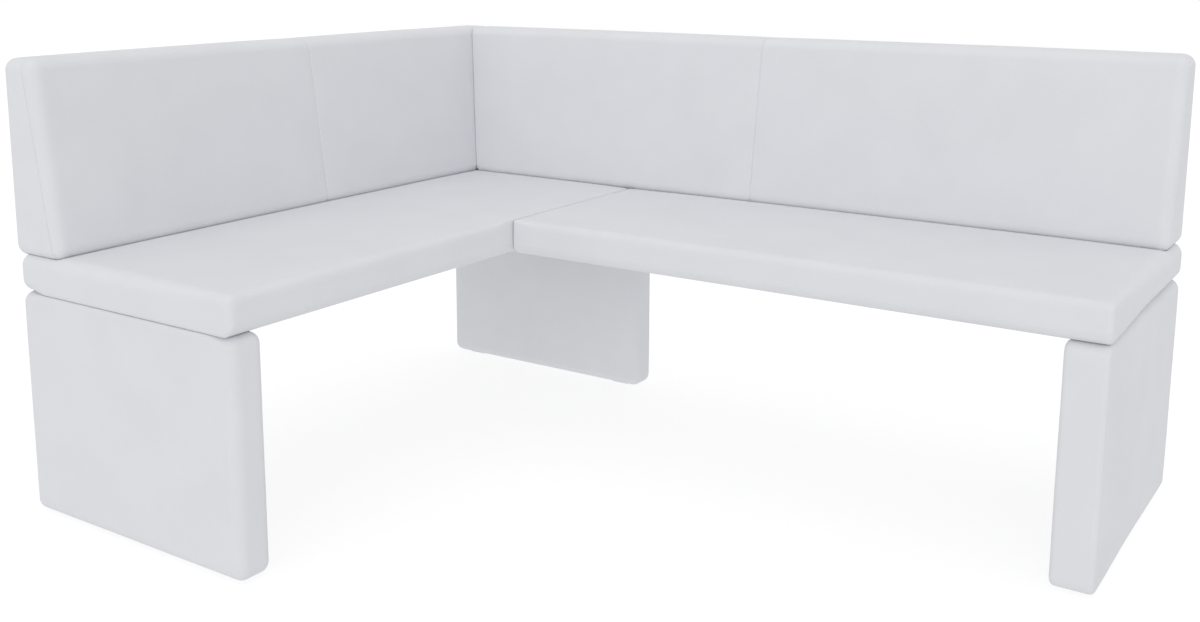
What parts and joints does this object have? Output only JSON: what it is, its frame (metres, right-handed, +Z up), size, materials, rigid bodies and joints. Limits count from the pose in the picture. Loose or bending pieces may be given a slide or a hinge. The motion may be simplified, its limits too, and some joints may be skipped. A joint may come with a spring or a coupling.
{
  "type": "corner bench",
  "caption": "L-shaped upholstered dining bench: slab seats on panel legs with leaning wedge backrests, covered in pale grey-white faux leather over foam and timber frames.",
  "frame": {"origin": "on the floor, under the middle of the bench's bounding box", "axes": "+Z up, +X along the long arm towards its free end, +Y towards the wall behind the long arm"},
  "size_m": [1.697, 1.291, 0.825],
  "materials": {
    "faux_leather": "matte",
    "foam": "matte",
    "softwood": "matte",
    "plywood": "matte",
    "chipboard": "matte",
    "hardboard": "matte",
    "lining_cloth": "matte",
    "zinc_steel": "satin",
    "glide_plastic": "matte"
  },
  "bodies": {
    "root": {"back_bolts": "zinc_steel", "back_nut_plates": "zinc_steel", "back_washers": "zinc_steel", "corner_leg_cover": "faux_leather", "corner_leg_foam": "foam", "corner_leg_foot_rail": "softwood", "corner_leg_panels": "chipboard", "corner_leg_stiles": "softwood", "corner_leg_top_rail": "softwood", "front_leg_cover": "faux_leather", "front_leg_foam": "foam", "front_leg_foot_rail": "softwood", "front_leg_panels": "chipboard", "front_leg_stiles": "softwood", "front_leg_top_rail": "softwood", "glides": "glide_plastic", "joint_plates": "zinc_steel", "leg_brackets": "zinc_steel", "long_back_cover": "faux_leather", "long_back_foam": "foam", "long_back_foot_rail": "softwood", "long_back_front_panel": "hardboard", "long_back_rear_panel": "faux_leather", "long_back_ribs": "plywood", "long_back_top_rail": "softwood", "long_seat_cover": "faux_leather", "long_seat_cross_rails": "softwood", "long_seat_deck": "plywood", "long_seat_end_rails": "softwood", "long_seat_foam": "foam", "long_seat_front_rail": "softwood", "long_seat_lining": "lining_cloth", "long_seat_wall_rail": "softwood", "right_leg_cover": "faux_leather", "right_leg_foam": "foam", "right_leg_foot_rail": "softwood", "right_leg_panels": "chipboard", "right_leg_stiles": "softwood", "right_leg_top_rail": "softwood", "short_back_cover": "faux_leather", "short_back_foam": "foam", "short_back_foot_rail": "softwood", "short_back_front_panel": "hardboard", "short_back_rear_panel": "faux_leather", "short_back_ribs": "plywood", "short_back_top_rail": "softwood", "short_seat_cover": "faux_leather", "short_seat_cross_rails": "softwood", "short_seat_deck": "plywood", "short_seat_end_rails": "softwood", "short_seat_foam": "foam", "short_seat_front_rail": "softwood", "short_seat_lining": "lining_cloth", "short_seat_wall_rail": "softwood"}
  },
  "joints": []
}
